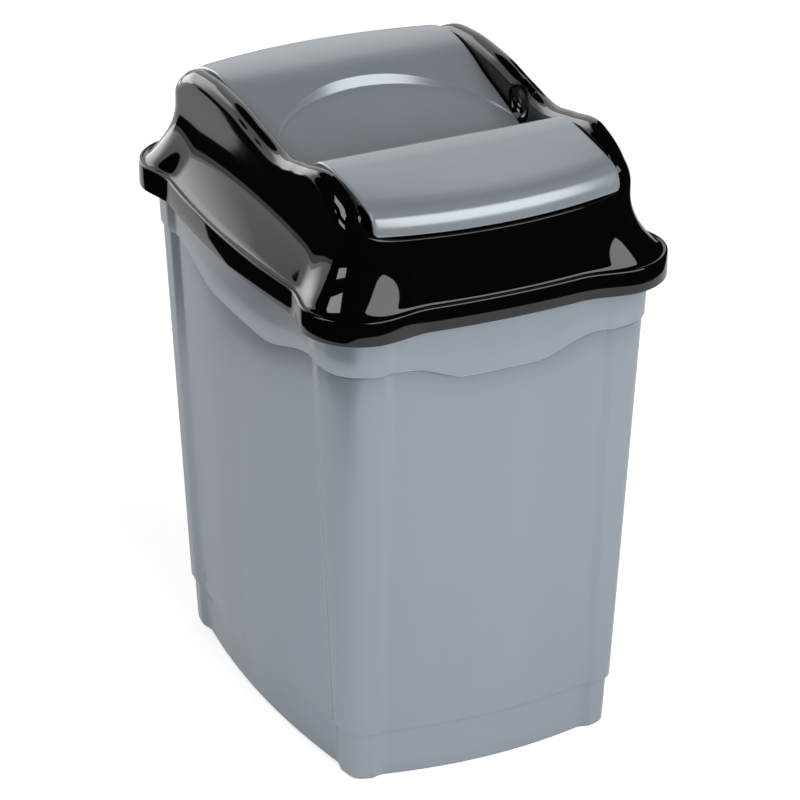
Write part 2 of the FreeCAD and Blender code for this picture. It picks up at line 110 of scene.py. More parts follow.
def outline(half_x, half_y, radius, bow_x, bow_y, sink, step_shares, front_shares=None,
            side_points=64, corner_points=26, front_points=52):
    """Closed outline as rows of (x, y), anticlockwise from the middle of the right side. Each side is a
    parabola, sunk between the corners by a smooth step, and meets its corner arc along one tangent; the
    first quarter is mirrored in X and then in Y."""
    centre_x, centre_y = half_x - radius, half_y - radius
    tilt_x = corner_tilt(bow_x, centre_y, radius)
    tilt_y = corner_tilt(bow_y, centre_x, radius)
    share = np.linspace(0, 1, side_points, endpoint=False)
    sunk = sink * (1 - smooth(share, *step_shares))
    right_x = centre_x + radius * math.cos(tilt_x) + bow_x * (1 - share ** 2) - sunk
    right_y = (centre_y + radius * math.sin(tilt_x)) * share
    angle = np.linspace(tilt_x, math.pi / 2 - tilt_y, corner_points)
    arc_x, arc_y = centre_x + radius * np.cos(angle), centre_y + radius * np.sin(angle)
    share = np.linspace(1, 0, front_points + 1)[1:]
    sunk = sink * (1 - smooth(share, *(front_shares or step_shares)))
    back_x = (centre_x + radius * math.sin(tilt_y)) * share
    back_y = centre_y + radius * math.cos(tilt_y) + bow_y * (1 - share ** 2) - sunk
    quarter = np.stack([np.r_[right_x, arc_x, back_x], np.r_[right_y, arc_y, back_y]], 1)
    half = np.vstack([quarter, quarter[-2::-1] * (-1, 1)])
    return np.vstack([half, half[-2:0:-1] * (1, -1)])


def inset(ring, distance):
    """Each point moved inwards, square to the closed outline; the run is the mean of the two unit runs
    next to it."""
    before = ring - np.roll(ring, 1, 0)
    after = np.roll(ring, -1, 0) - ring
    run = (before / np.linalg.norm(before, axis=1, keepdims=True)
           + after / np.linalg.norm(after, axis=1, keepdims=True))
    run /= np.linalg.norm(run, axis=1, keepdims=True)
    return ring + np.stack([-run[:, 1], run[:, 0]], 1) * np.asarray(distance).reshape(-1, 1)


def at(ring, height):
    """outline points lifted to one height, or each to its own"""
    return np.column_stack([ring, np.broadcast_to(height, len(ring))])


def rounded(rings, sharp, radius):
    """The list of loops with each sharp one replaced by three on a small round: the loop is pulled by the
    radius towards its two neighbours, and the middle one lies between the corner and their mean."""
    result = []
    for index, ring in enumerate(rings):
        if index not in sharp or index in (0, len(rings) - 1):
            result.append(ring)
            continue
        to_last, to_next = rings[index - 1] - ring, rings[index + 1] - ring
        size_last = np.linalg.norm(to_last, axis=1, keepdims=True)
        size_next = np.linalg.norm(to_next, axis=1, keepdims=True)
        one = ring + to_last / size_last * np.minimum(radius, size_last / 2)
        two = ring + to_next / size_next * np.minimum(radius, size_next / 2)
        result += [one, (one + two) / 4 + ring / 2, two]
    return result


def mesh_piece(name, grids):
    """One object from grids of points, each given as (points, closed across, close along); quads join
    each point to its right and upper neighbours, and doubles are merged at the seams."""
    places, faces, start = [], [], 0
    for points, around, along in grids:
        rows, columns = points.shape[:2]
        index = np.arange(rows * columns).reshape(rows, columns) + start
        if around:
            index = np.hstack([index, index[:, :1]])
        if along:
            index = np.vstack([index, index[:1]])
        quads = np.stack([index[:-1, :-1], index[:-1, 1:], index[1:, 1:], index[1:, :-1]], -1)
        places.append(points.reshape(-1, 3))
        faces.append(quads.reshape(-1, 4))
        start += rows * columns
    mesh = bpy.data.meshes.new(name)
    mesh.from_pydata(np.vstack(places).tolist(), [], np.vstack(faces).tolist())
    work = bmesh.new()
    work.from_mesh(mesh)
    bmesh.ops.remove_doubles(work, verts=work.verts, dist=weld_distance)
    bmesh.ops.dissolve_degenerate(work, edges=work.edges, dist=sliver_length)
    bmesh.ops.recalc_face_normals(work, faces=work.faces)
    work.to_mesh(mesh)
    work.free()
    mesh.polygons.foreach_set("use_smooth", np.ones(len(mesh.polygons), bool))
    piece = bpy.data.objects.new(name, mesh)
    bpy.context.scene.collection.objects.link(piece)
    return piece


def lip_outline():
    """outline of the hood's lip, which the tub's rim follows a little inside it"""
    return outline(**lip, step_shares=lip_step_shares, front_shares=lip_front_shares)


def wave(ring):
    """Height of the collar's lower edge: level at the corners, and a smooth step down to a flat crest in
    the middle of each side."""
    x, y = np.abs(ring[:, 0]), np.abs(ring[:, 1])
    front = collar_droop["front"] * (1 - smooth(x, collar_crest["front"], collar_end["front"]))
    side = collar_droop["side"] * (1 - smooth(y, collar_crest["side"], collar_end["side"]))
    on_front = y > tub_base["half_y"] - tub_base["radius"]
    return mouth_height - collar_height - np.where(on_front, front, side)


def tub_rings():
    """Loops over the whole skin, from the middle of the recessed sole, round the foot, up the outside, over
    the turned-down rim and down the cavity to the middle of its floor. A wall loop lies on the straight
    line between the foot's outline and the mouth's, at the share of its own height."""
    foot_share = foot_step_height / mouth_height
    at_foot = {key: mix(tub_base[key], tub_mouth[key], foot_share) for key in tub_base}
    base = outline(**tub_base, step_shares=pillar_shares)
    wall_foot = outline(**at_foot, step_shares=pillar_shares)
    mouth = outline(**tub_mouth, step_shares=pillar_shares)
    sole = inset(base, foot_inset)
    foot_top = inset(mix(base, mouth, foot_height / mouth_height), foot_inset)

    def wall(height, proud=0.0):
        """outside of the wall at one height, or each point at its own, moved out by the proud distance"""
        share = (height - foot_height - foot_step) / (mouth_height - foot_height - foot_step)
        return at(inset(mix(wall_foot, mouth, np.reshape(share, (-1, 1))), -proud), height)

    recess = inset(sole, foot_edge + tub_wall)
    rings = [at(recess * share, floor_height) for share in recess_shares]
    rings += [at(recess, floor_height), at(recess, 0)]
    sharp = {len(rings) - 2, len(rings) - 1}
    for angle in np.linspace(0, math.pi / 2, foot_edge_steps):
        rings.append(at(inset(sole, foot_edge * (1 - math.sin(angle))), foot_edge * (1 - math.cos(angle))))
    rings.append(at(mix(sole, foot_top, 0.5), foot_height / 2))
    rings += [at(foot_top, foot_height), wall(foot_step_height)]
    sharp |= {len(rings) - 2, len(rings) - 1}
    edge = wave(wall_foot)
    rings += [wall(mix(foot_step_height, edge, share)) for share in wall_shares]
    rings += [wall(edge - groove_width), wall(edge, -groove_depth), wall(edge, collar_proud)]
    sharp |= {len(rings) - 3, len(rings) - 2, len(rings) - 1}
    under_rim = mouth_height - rim_thickness
    rings += [wall(mix(edge, under_rim, share), collar_proud) for share in third_shares]
    rings.append(wall(np.full(len(edge), under_rim), collar_proud))
    rim = inset(lip_outline(), hood_wall + rim_gap)
    rim_in = inset(rim, rim_thickness)
    rim_low = mouth_height - rim_drop
    cavity = inset(mouth, tub_wall)
    rings += [at(rim_in, under_rim), at(rim_in, rim_low), at(rim, rim_low), at(rim, mouth_height),
              at(cavity, mouth_height)]
    sharp |= set(range(len(rings) - 6, len(rings)))
    cavity_step = inset(wall_foot, tub_wall)
    rings += [at(mix(cavity, cavity_step, share), mix(mouth_height, foot_step_height, share))
              for share in cavity_shares]
    floor_top = floor_height + floor_thickness
    cavity_floor = inset(mix(sole, foot_top, floor_top / foot_height), tub_wall)
    rings += [at(cavity_step, foot_step_height), at(inset(foot_top, tub_wall), foot_height)]
    sharp |= {len(rings) - 2, len(rings) - 1}
    rings += [at(cavity_floor, floor_top + foot_edge),
              at(inset(cavity_floor, foot_edge * floor_edge_share), floor_top + foot_edge * floor_edge_share),
              at(inset(cavity_floor, foot_edge), floor_top)]
    rings += [at(cavity_floor * share, floor_top) for share in floor_shares]
    return rounded(rings, sharp, edge_radius)


class Socket:
    """One output of a node, on which arithmetic adds Math nodes."""

    def __init__(self, tree, output):
        self.tree, self.output = tree, output

    def _math(self, operation, first, second):
        return self.tree.node("ShaderNodeMath", {"operation": operation}, {0: first, 1: second})

    def __add__(self, other):
        return self._math("ADD", self, other)

    def __mul__(self, other):
        return self._math("MULTIPLY", self, other)

    def __sub__(self, other):
        return self._math("SUBTRACT", self, other)

    def __rsub__(self, other):
        return self._math("SUBTRACT", other, self)

    __radd__ = __add__
    __rmul__ = __mul__


class NodeTree:
    """A tree of nodes. node() adds one: it takes a type, its settings and the values or links of its
    sockets, and gives one output; feed() links a value to a socket of the tree's main node."""

    def __init__(self, tree, main):
        self.tree, self.main = tree, tree.nodes[main]

    def node(self, kind, settings=None, sockets=None, output=0):
        made = self.tree.nodes.new(kind)
        for key, value in (settings or {}).items():
            setattr(made, key, value)
        for key, value in (sockets or {}).items():
            if isinstance(value, Socket):
                self.tree.links.new(value.output, made.inputs[key])
            else:
                made.inputs[key].default_value = value
        return Socket(self, made.outputs[output])

    def feed(self, name, value):
        self.tree.links.new(value.output, self.main.inputs[name])


class Finish(NodeTree):
    """A material. Its constants are set on the shader's own sockets, named with _ for each space."""

    def __init__(self, name, **constants):
        self.material = bpy.data.materials.new(name)
        self.material.use_nodes = True
        super().__init__(self.material.node_tree, "Principled BSDF")
        for socket, value in constants.items():
            self.main.inputs[socket.replace("_", " ")].default_value = value


flake_scale = 2400.0
flake_strength = 0.05
streak_scale = (24.0, 24.0, 1.0)
streak_strength = 0.5
streak_roughness = 0.05
tone_spread = 0.10


def silver_finish(name, colour, roughness, metallic):
    """Polypropylene with fine aluminium flake: the flake is a small noise in the colour, and the flow of
    the melt leaves soft streaks that run up the walls."""
    finish = Finish(name, Metallic=metallic, IOR=1.48, Coat_Weight=0.0)
    place = finish.node("ShaderNodeTexCoord", output="Object")
    flake = finish.node("ShaderNodeTexNoise", {}, {"Vector": place, "Scale": flake_scale, "Detail": 1.0})
    stretched = finish.node("ShaderNodeMapping", {}, {"Vector": place, "Scale": streak_scale})
    streak = finish.node("ShaderNodeTexNoise", {}, {"Vector": stretched, "Scale": 1.0, "Detail": 2.0})
    tone = (flake - 0.5) * flake_strength + (streak - 0.5) * streak_strength + 0.5
    dark = tuple(part * (1 - tone_spread) for part in colour) + (1.0,)
    light = tuple(part * (1 + tone_spread) for part in colour) + (1.0,)
    finish.feed("Base Color", finish.node("ShaderNodeMix", {"data_type": "RGBA"}, {0: tone, 6: dark, 7: light},
                                          output=2))
    finish.feed("Roughness", (streak - 0.5) * streak_roughness + roughness)
    return finish.material


tub_silver = silver_finish("silver_polypropylene", (0.322, 0.366, 0.411), 0.26, 0.5)
tub = mesh_piece("bin_tub", [(np.stack(tub_rings()), True, False)])
tub.data.materials.append(tub_silver)
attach(tub, "tub")
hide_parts("tub")

# Hood
# One glossy black polypropylene moulding, loose on the tub's rim: an S-shaped lip with a rolled bead, a
# hollow flare up to the wall, and two cheeks whose rounded crests rise over the flap's humps and dip
# between them. In each cheek are a round scoop and the socket of the flap's pivot.

seat_gap = 0.3 * MM
lip_drop = 12.8 * MM
bead_width = 4.6 * MM
bead_height = 4.4 * MM
bead_radius = 1.5 * MM
bead_turn = math.radians(140)
bead_steps = 13
ledge_round = 0.075
ledge_shares = np.linspace(0.08, 0.92, 11)
flare_rise = 41.0 * MM
flare_shares = np.r_[ledge_round, np.linspace(0.1, 1, 19)]
flare_skin_shift = 1.6 * MM
flare_skin_steps = 9
hood_upright = dict(half_x=107.5 * MM, half_y=151.1 * MM, radius=27.0 * MM, bow_x=0.0, bow_y=13.0 * MM,
                    sink=0.0)
cheek_round = 9.0 * MM
cheek_round_steps = 20
cheek_round_inside = 0.7
cheek_round_inside_steps = 8
cheek_valley_rise = 69.7 * MM
cheek_front_rise = 81.4 * MM
cheek_rear_rise = 80.5 * MM
cheek_front_peak = 93.6 * MM
cheek_rear_peak = 76.0 * MM
cheek_valley_place = 29.7 * MM
cheek_fall_shares = ((1.0, 0.0), (0.93, 0.25), (0.87, 0.5), (0.81, 0.71), (0.71, 0.91))
cheek_front_shares = ((0.5, 0.48),)
cheek_rear_shares = ((0.36, 0.42), (0.7, 0.9))
sill_rise = 52.3 * MM
sill_edge = 1.4 * MM
sill_width = 7.0 * MM
throat_depth = 28.4 * MM
throat_front_depth = 13.5 * MM
throat_step_shares = (0.83, 0.97)
throat_shares = (0.4, 0.8, 1.0)
flap_half_width = 90.0 * MM
flap_gap = 1.0 * MM
flap_corner = 5.0 * MM
pivot_back = 5.0 * MM
pivot_rise = 47.4 * MM
pin_radius = 3.5 * MM
pin_length = 5.5 * MM
pin_clearance = 0.05 * MM
socket_wall = 3.0 * MM
socket_length = 6.0 * MM
notch_radius = 12.6 * MM
notch_depth = 7.0 * MM
notch_rise = 61.0 * MM
overrun = 5.0 * MM
crease_angle = math.radians(38)
lip_top = mouth_height + seat_gap + hood_wall + bead_height / 2
lip_bottom = mouth_height - lip_drop
flare_top = lip_top + flare_rise
sill_height = mouth_height + sill_rise
notch_height = mouth_height + notch_rise
pivot_height = mouth_height + pivot_rise


def hermite(places, knots):
    """Smooth cubic through knots of (place, height): slopes are the harmonic means of the slopes on both
    sides, and zero at a peak or a dip, so that nothing overshoots."""
    at_x, at_z = np.array(knots).T
    rise = np.diff(at_z) / np.diff(at_x)
    product = rise[:-1] * rise[1:]
    inner = np.where(product > 0, 2 * product / np.where(product > 0, rise[:-1] + rise[1:], 1.0), 0.0)
    slope = np.r_[0.0, inner, 0.0]
    places = np.clip(places, at_x[0], at_x[-1])
    cell = np.clip(np.searchsorted(at_x, places) - 1, 0, len(at_x) - 2)
    run = at_x[cell + 1] - at_x[cell]
    t = (places - at_x[cell]) / run
    return (at_z[cell] * (1 + 2 * t) * (1 - t) ** 2 + slope[cell] * run * t * (1 - t) ** 2
            + at_z[cell + 1] * t * t * (3 - 2 * t) + slope[cell + 1] * run * t * t * (t - 1))


def crest(places):
    """Height of the cheek's crest along Y: two humps with a dip between them, falling to the sill, as a
    smooth cubic through knots at shares of the runs and rises between them."""
    front, rear = mouth_height + cheek_front_rise, mouth_height + cheek_rear_rise
    valley = mouth_height + cheek_valley_rise
    end = hood_upright["half_y"]
    knots = [(-end * place, mix(sill_height, front, rise)) for place, rise in cheek_fall_shares]
    knots.append((-cheek_front_peak, front))
    knots += [(mix(-cheek_front_peak, -cheek_valley_place, place), mix(valley, front, rise))
              for place, rise in cheek_front_shares]
    knots.append((-cheek_valley_place, valley))
    knots += [(mix(-cheek_valley_place, cheek_rear_peak, place), mix(valley, rear, rise))
              for place, rise in cheek_rear_shares]
    knots.append((cheek_rear_peak, rear))
    knots += [(end * place, mix(sill_height, rear, rise)) for place, rise in cheek_fall_shares[::-1]]
    return hermite(places, knots)


def throat_outline():
    """Outline of the opening that the flap fills: its front lies a sill's width behind the crown of the
    hood's bowed front wall."""
    size = hood_upright
    wall_tilt = corner_tilt(size["bow_y"], size["half_x"] - size["radius"], size["radius"])
    reach = size["half_y"] - size["radius"] * (1 - math.cos(wall_tilt)) + size["bow_y"]
    half_x, radius, bow = flap_half_width + flap_gap, flap_corner + flap_gap, size["bow_y"]
    tilt = corner_tilt(bow, half_x - radius, radius)
    half_y = reach - sill_width - bow + radius * (1 - math.cos(tilt))
    return outline(half_x, half_y, radius, 0.0, bow, 0.0, lip_step_shares)


def top_round(outside, inside, tops, rounds, steps):
    """Loops over a rounded top: across, a share of (1 - cos a) / 2 between the two outlines, and down from
    the top by the round's height times (1 - sin a)."""
    return [at(mix(outside, inside, (1 - math.cos(a)) / 2), tops - rounds * (1 - math.sin(a)))
            for a in np.linspace(0, math.pi, steps + 1)]


def cheek_shape():
    """wall and throat outlines, and over each point the crest's height and the height of its round"""
    wall, throat = outline(**hood_upright, step_shares=lip_step_shares), throat_outline()
    tops = crest(mix(wall, throat, 0.5)[:, 1])
    return wall, throat, tops, np.minimum(cheek_round, tops - sill_height + sill_edge)


def hood_rings():
    """Loops round the whole wall section: up the lip, over the bead, up the flare, whose outline shares
    fall with the square of the height, over the crest, down the throat, and back along the underside. The
    bead runs into the flare along a Bezier curve with three points."""
    lip_ring = lip_outline()
    wall, throat, tops, rounds = cheek_shape()
    foot = inset(lip_ring, bead_width)
    bead_start = lip_top - bead_radius
    rings = [at(lip_ring, lip_bottom), at(lip_ring, mix(lip_bottom, bead_start, 0.5))]
    sharp = {0}
    rings += [at(inset(lip_ring, bead_radius * (1 - math.cos(angle))),
                 lip_top - bead_radius * (1 - math.sin(angle)))
              for angle in np.linspace(0, bead_turn, bead_steps)]
    bead_end = rings[-1]
    ledge = at(foot, bead_end[0, 2])
    flare = [at(mix(wall, foot, (1 - share) ** 2), mix(ledge[0, 2], flare_top, share))
             for share in flare_shares]
    rings += [bead_end * (1 - t) ** 2 + 2 * ledge * t * (1 - t) + flare[0] * t ** 2 for t in ledge_shares]
    rings += flare
    rings += [at(wall, mix(flare_top, tops - rounds, share)) for share in third_shares]
    rings += top_round(wall, throat, tops, rounds, cheek_round_steps)
    front_start, front_end = (hood_upright["half_y"] * share for share in throat_step_shares)
    bottom = mouth_height + mix(throat_depth, sill_rise - throat_front_depth,
                                smooth(np.abs(mix(wall, throat, 0.5)[:, 1]), front_start, front_end))
    rings += [at(throat, mix(tops - rounds, bottom, share)) for share in throat_shares]
    wall_in, throat_out, lip_in = inset(wall, hood_wall), inset(throat, -hood_wall), inset(lip_ring, hood_wall)
    rings.append(at(throat_out, bottom))
    sharp |= {len(rings) - 2, len(rings) - 1}
    rings += top_round(throat_out, wall_in, tops - hood_wall, rounds * cheek_round_inside,
                       cheek_round_inside_steps)
    foot_in = inset(lip_ring, bead_width + flare_skin_shift / 2)
    rings += [at(mix(wall_in, foot_in, (1 - share) ** 2), mix(lip_top - flare_skin_shift, flare_top, share))
              for share in np.linspace(1, 0, flare_skin_steps)]
    seat = mouth_height + seat_gap
    rings += [at(foot, seat), at(lip_in, seat), at(lip_in, lip_bottom)]
    sharp |= set(range(len(rings) - 4, len(rings)))
    return rings, sharp


def rod(name, radius, start, end, y, z, sides=96):
    """closed cylinder along X: loops of a circle, shrunk to a point at both ends"""
    angle = np.linspace(0, 2 * math.pi, sides, endpoint=False)
    loops = [(start, 0.0), (start, radius), (end, radius), (end, 0.0)]
    points = np.stack([np.column_stack([np.full(sides, x), y + r * np.cos(angle), z + r * np.sin(angle)])
                       for x, r in loops])
    return mesh_piece(name, [(points, True, False)])


def bowl(name, radius, depth, x, y, z, sides=96, steps=24):
    """closed ellipsoid: loops of a circle along X, whose radius follows the sine and whose place the cosine"""
    angle = np.linspace(0, 2 * math.pi, sides, endpoint=False)
    points = np.stack([np.column_stack([np.full(sides, x - depth * math.cos(a)),
                                        y + radius * math.sin(a) * np.cos(angle),
                                        z + radius * math.sin(a) * np.sin(angle)])
                       for a in np.linspace(0, math.pi, steps + 1)])
    return mesh_piece(name, [(points, True, False)])


def combine(piece, operation, tool):
    """joins a tool to a piece, cuts it away or keeps what they share, and removes the tool"""
    modifier = piece.modifiers.new(operation.lower(), "BOOLEAN")
    modifier.operation, modifier.object, modifier.solver = operation, tool, "EXACT"
    with bpy.context.temp_override(object=piece, active_object=piece):
        bpy.ops.object.modifier_apply(modifier=modifier.name)
    mesh = tool.data
    bpy.data.objects.remove(tool)
    bpy.data.meshes.remove(mesh)


def make_hood():
    """The hood's skin. In each cheek a round housing, kept to the cheek's own outside, carries the scoop,
    and a boss carries the socket's bore."""
    rings, sharp = hood_rings()
    closed = rounded([rings[-1]] + rings + [rings[0]], {index + 1 for index in sharp}, edge_radius)[1:-1]
    made = mesh_piece("bin_hood", [(np.stack(closed), True, True)])
    wall, throat, tops, rounds = cheek_shape()
    low = sill_height - 2 * throat_front_depth
    over = top_round(wall, throat, tops, rounds, cheek_round_steps)
    inside = flap_half_width + flap_gap
    for side in (-1, 1):
        envelope = mesh_piece("envelope", [(np.stack([at(wall, low)] + over + [at(throat, low)]), True, True)])
        housing = rod("housing", notch_radius + hood_wall, side * (inside - overrun),
                      side * (inside + notch_depth + hood_wall), 0, notch_height)
        combine(housing, "INTERSECT", envelope)
        combine(made, "UNION", housing)
        combine(made, "UNION", rod("boss", pin_radius + socket_wall, side * (inside + hood_wall / 2),
                                   side * (inside + socket_length + socket_wall), pivot_back, pivot_height))
        combine(made, "DIFFERENCE", bowl("notch", notch_radius, notch_depth, side * inside, 0, notch_height))
        combine(made, "DIFFERENCE", rod("bore", pin_radius + pin_clearance, side * (inside - overrun),
                                        side * (inside + socket_length), pivot_back, pivot_height))
    made.data.set_sharp_from_angle(angle=crease_angle)
    return made


hood_black = Finish("black_polypropylene", Base_Color=(0.0012, 0.0012, 0.0014, 1.0), Roughness=0.045, IOR=1.49,
                    Specular_IOR_Level=0.62)
hood = make_hood()
hood.data.materials.append(hood_black.material)
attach(hood, "lid")
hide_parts("lid_hood")

# Swing flap
# One moulding in the same silver polypropylene, snapped into the hood's sockets by two stubs, on which it
# tips: two humps with a valley between them, a crescent push recess behind the valley, sides turned down
# as returns, and two ribs underneath.

flap_skin = 2.2 * MM
flap_front_reach = 162.0 * MM
flap_rear_reach = 154.5 * MM
flap_bow = 12.8 * MM
flap_hump_rise = 24.6 * MM
flap_return_depth = 9.0 * MM
flap_return_thickness = 2.4 * MM
flap_return_front = 132.0 * MM
flap_return_fade = 0.9
flap_edge_round = 1.5 * MM
flap_edge_steps = 7
flap_tip_steps = 6
flap_rib_thickness = 1.8 * MM
flap_rib_places = (-45.0 * MM, 45.0 * MM)
flap_rib_front = 146.0 * MM
flap_rib_rear = 138.0 * MM
front_bow_shares = (0.68, 0.95)
rear_bow_shares = (0.7, 0.96)
push_radius = 93.8 * MM
push_centre = 26.3 * MM
push_step_run = 4.5 * MM
push_full_depth = 6.0 * MM
push_floor_slope = 14.8 / 63.0
push_step_round = 0.14
curve_steps = 40
across_legs = ((0.9, 29), (1.0, 5))
front_legs = ((0.08, 13), (1.0, 57))
floor_legs = ((1.0, 13),)
step_legs = ((push_step_round, 4), (1 - push_step_round, 6), (1.0, 4))
tail_legs = ((0.86, 39), (1.0, 21))
underside_shares = np.r_[1.0, np.linspace(0.985, 0, 34)]
return_edge_small, return_edge_large = 0.15 * MM, 0.5 * MM
return_least_depth = 1.3 * flap_skin
flap_front_shares = ((1.0, 0.1), (0.992, 0.35), (0.974, 0.55), (0.942, 0.68), (0.89, 0.765), (0.82, 0.835),
                     (0.76, 0.885), (0.633, 0.965), (0.543, 1.0), (0.434, 0.925), (0.374, 0.74), (0.211, -0.11),
                     (0.133, -0.335), (0.066, -0.25), (0.0, -0.127))
flap_rear_shares = ((0.063, -0.01), (0.19, 0.22), (0.348, 0.48), (0.475, 0.755), (0.57, 0.905), (0.70, 1.0),
                    (0.82, 0.925), (0.91, 0.76), (0.965, 0.52), (1.0, -0.15))


def stations(*legs):
    """shares from 0 on, in even steps to the end of each leg, given as (end, steps); 0 itself is left out"""
    starts = (0.0,) + tuple(end for end, _ in legs[:-1])
    return np.concatenate([np.linspace(start, end, steps + 1)[1:] for start, (end, steps) in zip(starts, legs)])


def flap_curve():
    """Dense points (bow, y, z) of the flap's side view: between two knots, a cubic whose end slopes are
    the chord slopes on both sides, weighted by the other side's length."""
    front, rear = flap_front_reach - flap_bow, flap_rear_reach - flap_bow
    base = sill_height + seat_gap
    knots = [(-flap_bow * float(smooth(s, *front_bow_shares)), -front * s, base + flap_hump_rise * r)
             for s, r in flap_front_shares]
    knots += [(flap_bow * float(smooth(s, *rear_bow_shares)), rear * s, base + flap_hump_rise * r)
              for s, r in flap_rear_shares]
    knots = np.array(knots)
    chord = np.diff(knots, axis=0)
    length = np.linalg.norm(chord, axis=1, keepdims=True)
    unit = chord / length
    inner = (unit[:-1] * length[1:] + unit[1:] * length[:-1]) / (length[1:] + length[:-1])
    slope = np.vstack([unit[:1], inner, unit[-1:]])
    t = np.linspace(0, 1, curve_steps, endpoint=False).reshape(1, -1, 1)
    a, b = knots[:-1, None], knots[1:, None]
    third_a = a + slope[:-1, None] * length[:, None] / 3
    third_b = b - slope[1:, None] * length[:, None] / 3
    curve = a * (1 - t) ** 3 + 3 * third_a * t * (1 - t) ** 2 + 3 * third_b * t * t * (1 - t) + b * t ** 3
    return np.vstack([curve.reshape(-1, 3), knots[-1:]])


def soft_ramp(share, turn):
    """Ramp from 0 to 1 whose ends are rounded over the turn: t squared over the turn at the start, the same
    upside down at the end, and a straight line between, all divided by what they rise together."""
    start, end = share ** 2 / turn, 2 - 2 * turn - (1 - share) ** 2 / turn
    return np.where(share < turn, start, np.where(share > 1 - turn, end, 2 * share - turn)) / (2 - 2 * turn)


def flap_surface(across):
    """Top surface y, z and bow on the grid of rows by places across the flap. Behind the valley the rows
    follow the recess: over its sloping floor, up its step along the circle, and on over the rear hump."""
    curve = flap_curve()
    run = np.r_[0.0, np.cumsum(np.linalg.norm(np.diff(curve[:, 1:], axis=0), axis=1))]
    split = (len(flap_front_shares) - 1) * curve_steps
    hump = np.argmax(curve[split:, 2]) + split
    valley_run, end_run, valley_z = run[split], run[-1], curve[split, 2]

    def along(runs):
        """y, z and bow of the side view at these runs along it"""
        return tuple(np.interp(runs, run, curve[:, axis]) for axis in (1, 2, 0))

    x = across.reshape(1, -1)
    circle = np.sqrt(np.maximum(push_radius ** 2 - x ** 2, 0.0)) - push_centre
    top_y = np.maximum(circle, 0.0)
    rising = slice(split, hump)
    top_run = np.interp(top_y, curve[rising, 1], run[rising])
    top_z = np.interp(top_y, curve[rising, 1], curve[rising, 2])
    drop = top_z - valley_z - push_floor_slope * top_y
    foot_y = np.maximum(top_y - push_step_run * np.clip(drop / push_full_depth, 0.0, 1.0), 0.0)
    front = np.r_[0.0, stations(*front_legs)]
    parts = [along((valley_run * front).reshape(-1, 1) + 0 * x)]
    floor_y = foot_y * stations(*floor_legs).reshape(-1, 1)
    parts.append((floor_y, valley_z + push_floor_slope * floor_y, 0 * floor_y))
    share = stations(*step_legs).reshape(-1, 1)
    step_y = foot_y + (top_y - foot_y) * share
    foot_z = valley_z + push_floor_slope * foot_y
    step_z = foot_z + (np.interp(top_run, run, curve[:, 2]) - foot_z) * soft_ramp(share, push_step_round)
    parts.append((step_y, step_z, 0 * step_y))
    parts.append(along(top_run + (end_run - top_run) * stations(*tail_legs).reshape(-1, 1)))
    return tuple(np.vstack([part[index] for part in parts]) for index in range(3))


def flap_section(depths):
    """Places across and depths below the top of the closed section, for one row's return depth: over the
    top, round the edge, down the return, under it and back along the underside."""
    outer, inner = flap_half_width, flap_half_width - flap_return_thickness
    small, large = return_edge_small, return_edge_large
    turn = np.linspace(0, math.pi / 2, flap_edge_steps)[1:]
    top = np.r_[0.0, stations(*across_legs)] * (outer - flap_edge_round)
    side = [(outer, 0.5, large), (outer, 1.0, -large), (outer - small, 1.0, -small), (outer - large, 1.0, 0.0),
            (inner + large, 1.0, 0.0), (inner + small, 1.0, -small), (inner, 1.0, -large)]
    under = underside_shares * inner
    turned = depths > return_least_depth
    x = np.concatenate([top, outer - flap_edge_round * (1 - np.sin(turn)),
                        np.array([place for place, _, _ in side]), under])
    d = np.hstack([0 * depths + np.zeros((1, len(top))), 0 * depths + flap_edge_round * (1 - np.cos(turn))]
                  + [mix(flap_edge_round, depths, share) + shift * turned for _, share, shift in side]
                  + [0 * depths + flap_skin * np.ones((1, len(under)))])
    return np.r_[x, -x[-2:0:-1]], np.hstack([d, d[:, -2:0:-1]])


def flap_rib(place):
    """Loops of one rib under the skin: at each row four corners, half its thickness to both sides, from
    the middle of the skin straight down by the returns' depth; both ends close in a point."""
    across = place + np.array([-0.5, 0.5, 0.5, -0.5]) * flap_rib_thickness
    y, z, bow = flap_surface(np.abs(across))
    drop = np.array([0.5 * flap_skin, 0.5 * flap_skin, flap_return_depth, flap_return_depth])
    points = np.stack([across + 0 * y, y + bow * (1 - (across / flap_half_width) ** 2), z - drop], -1)
    points = points[(y[:, 0] > -flap_rib_front) & (y[:, 0] < flap_rib_rear)]
    ends = [np.broadcast_to(points[row].mean(0), (1, 4, 3)) for row in (0, -1)]
    return np.vstack([ends[0], points, ends[1]])


